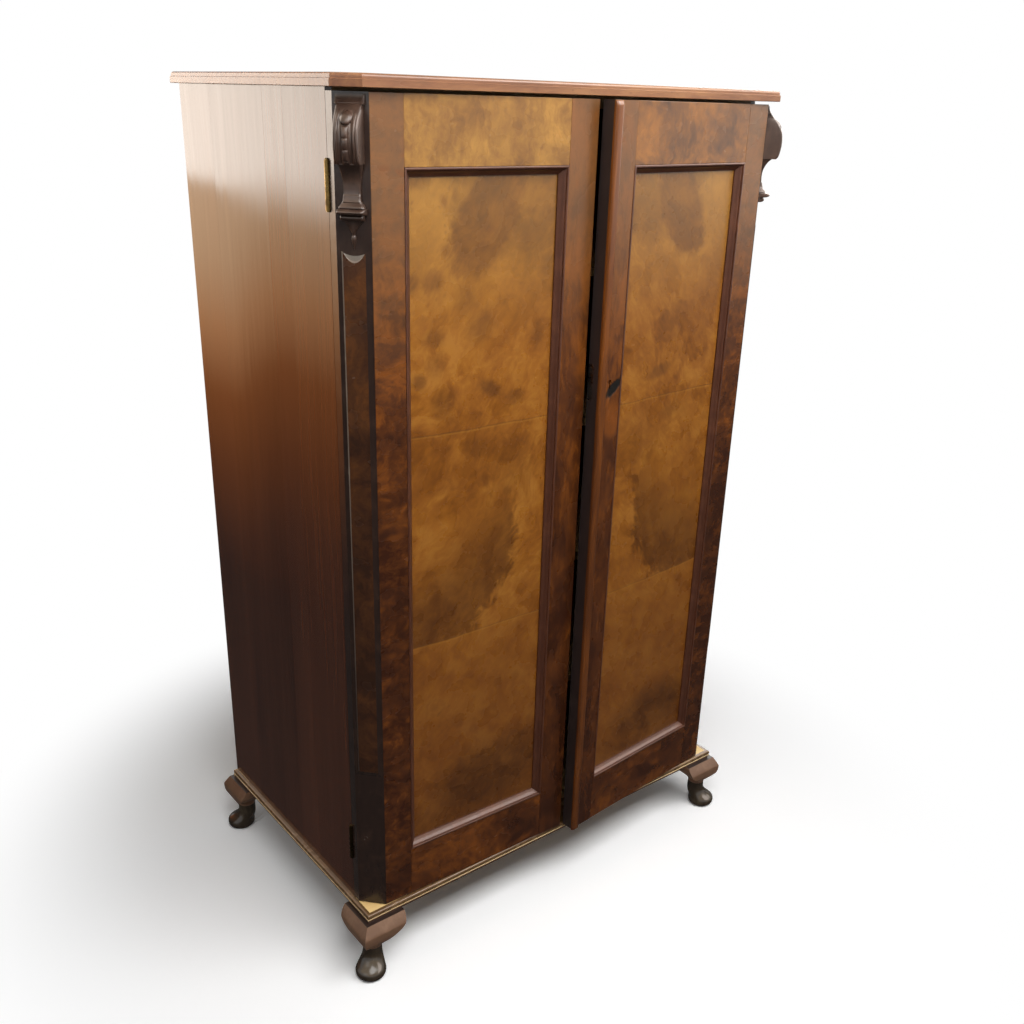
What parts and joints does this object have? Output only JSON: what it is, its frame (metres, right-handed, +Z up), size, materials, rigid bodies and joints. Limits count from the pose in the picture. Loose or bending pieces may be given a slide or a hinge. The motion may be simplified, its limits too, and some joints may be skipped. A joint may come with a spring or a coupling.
{
  "type": "linen press cupboard",
  "caption": "Tall two-door cupboard with canted corner posts, carved corbels, framed burr panels, moulded plinth, cabriole feet and shelves for folded linen.",
  "frame": {"origin": "middle of the outline box at floor level, under the soles of the feet", "axes": "+Z up, +Y from the doors to the back, +X to the right as seen from the front"},
  "size_m": [1.0694, 0.6984, 1.7205],
  "materials": {
    "polished_walnut": "high gloss polish",
    "burr_walnut": "high gloss polish",
    "red_walnut": "high gloss polish",
    "dark_walnut": "worn gloss polish",
    "pale_softwood": "bare",
    "brass": "aged",
    "steel": "aged"
  },
  "bodies": {
    "carcass": {"back_boards": "pale_softwood", "back_left_foot": "dark_walnut", "back_right_foot": "dark_walnut", "bottom_board": "pale_softwood", "foot_dowels": "pale_softwood", "front_left_foot": "dark_walnut", "front_right_foot": "dark_walnut", "hook_eye": "brass", "left_hinge_carcass_leaves": "brass", "left_hinge_carcass_screws": "brass", "left_hinge_pins": "brass", "left_shelf_bearers": "pale_softwood", "left_side_boards": "polished_walnut", "plinth_back": "pale_softwood", "plinth_front": "dark_walnut", "plinth_left": "dark_walnut", "plinth_right": "dark_walnut", "right_hinge_carcass_leaves": "brass", "right_hinge_carcass_screws": "brass", "right_hinge_pins": "brass", "right_shelf_bearers": "pale_softwood", "right_side_boards": "polished_walnut", "shelf_1": "pale_softwood", "shelf_2": "pale_softwood", "shelf_3": "pale_softwood", "shelf_4": "pale_softwood", "top_board": "polished_walnut", "top_rails": "pale_softwood", "top_screws": "steel"},
    "left_door": {"left_meeting_stile": "polished_walnut", "left_hinge_stile": "polished_walnut", "left_door_top_rail": "polished_walnut", "left_door_bottom_rail": "polished_walnut", "left_door_panel": "burr_walnut", "left_panel_moulding": "red_walnut", "left_corner_post": "dark_walnut", "left_post_field": "dark_walnut", "left_corbel": "dark_walnut", "left_hinge_door_leaves": "brass", "left_hinge_door_screws": "brass", "strike_plate": "steel", "hook_bracket": "brass"},
    "right_door": {"right_meeting_stile": "polished_walnut", "right_hinge_stile": "polished_walnut", "right_door_top_rail": "polished_walnut", "right_door_bottom_rail": "polished_walnut", "right_door_panel": "burr_walnut", "right_panel_moulding": "red_walnut", "right_corner_post": "dark_walnut", "right_post_field": "dark_walnut", "right_corbel": "dark_walnut", "right_hinge_door_leaves": "brass", "right_hinge_door_screws": "brass", "astragal": "polished_walnut", "lock_case": "steel"},
    "lock_bolt": {"lock_bolt": "steel"},
    "door_hook": {"door_hook": "brass"}
  },
  "joints": [
    {"name": "left_door_swing", "type": "hinge", "parent": "carcass", "child": "left_door", "pos_m": [-0.501, -0.236, 0.9265], "axis": [0, 0, -1], "range_deg": [-1.63, 148.37]},
    {"name": "right_door_swing", "type": "hinge", "parent": "carcass", "child": "right_door", "pos_m": [0.501, -0.236, 0.9265], "axis": [0, 0, 1], "range_deg": [-4.87, 145.13]},
    {"name": "lock_bolt_throw", "type": "slide", "parent": "right_door", "child": "lock_bolt", "axis": [-0.9964, -0.0849, 0], "range_m": [0, 0.009]},
    {"name": "door_hook_swing", "type": "hinge", "parent": "left_door", "child": "door_hook", "pos_m": [-0.03282, -0.27134, 1.0826], "axis": [0.9996, -0.0284, 0], "range_deg": [0, 120]}
  ]
}
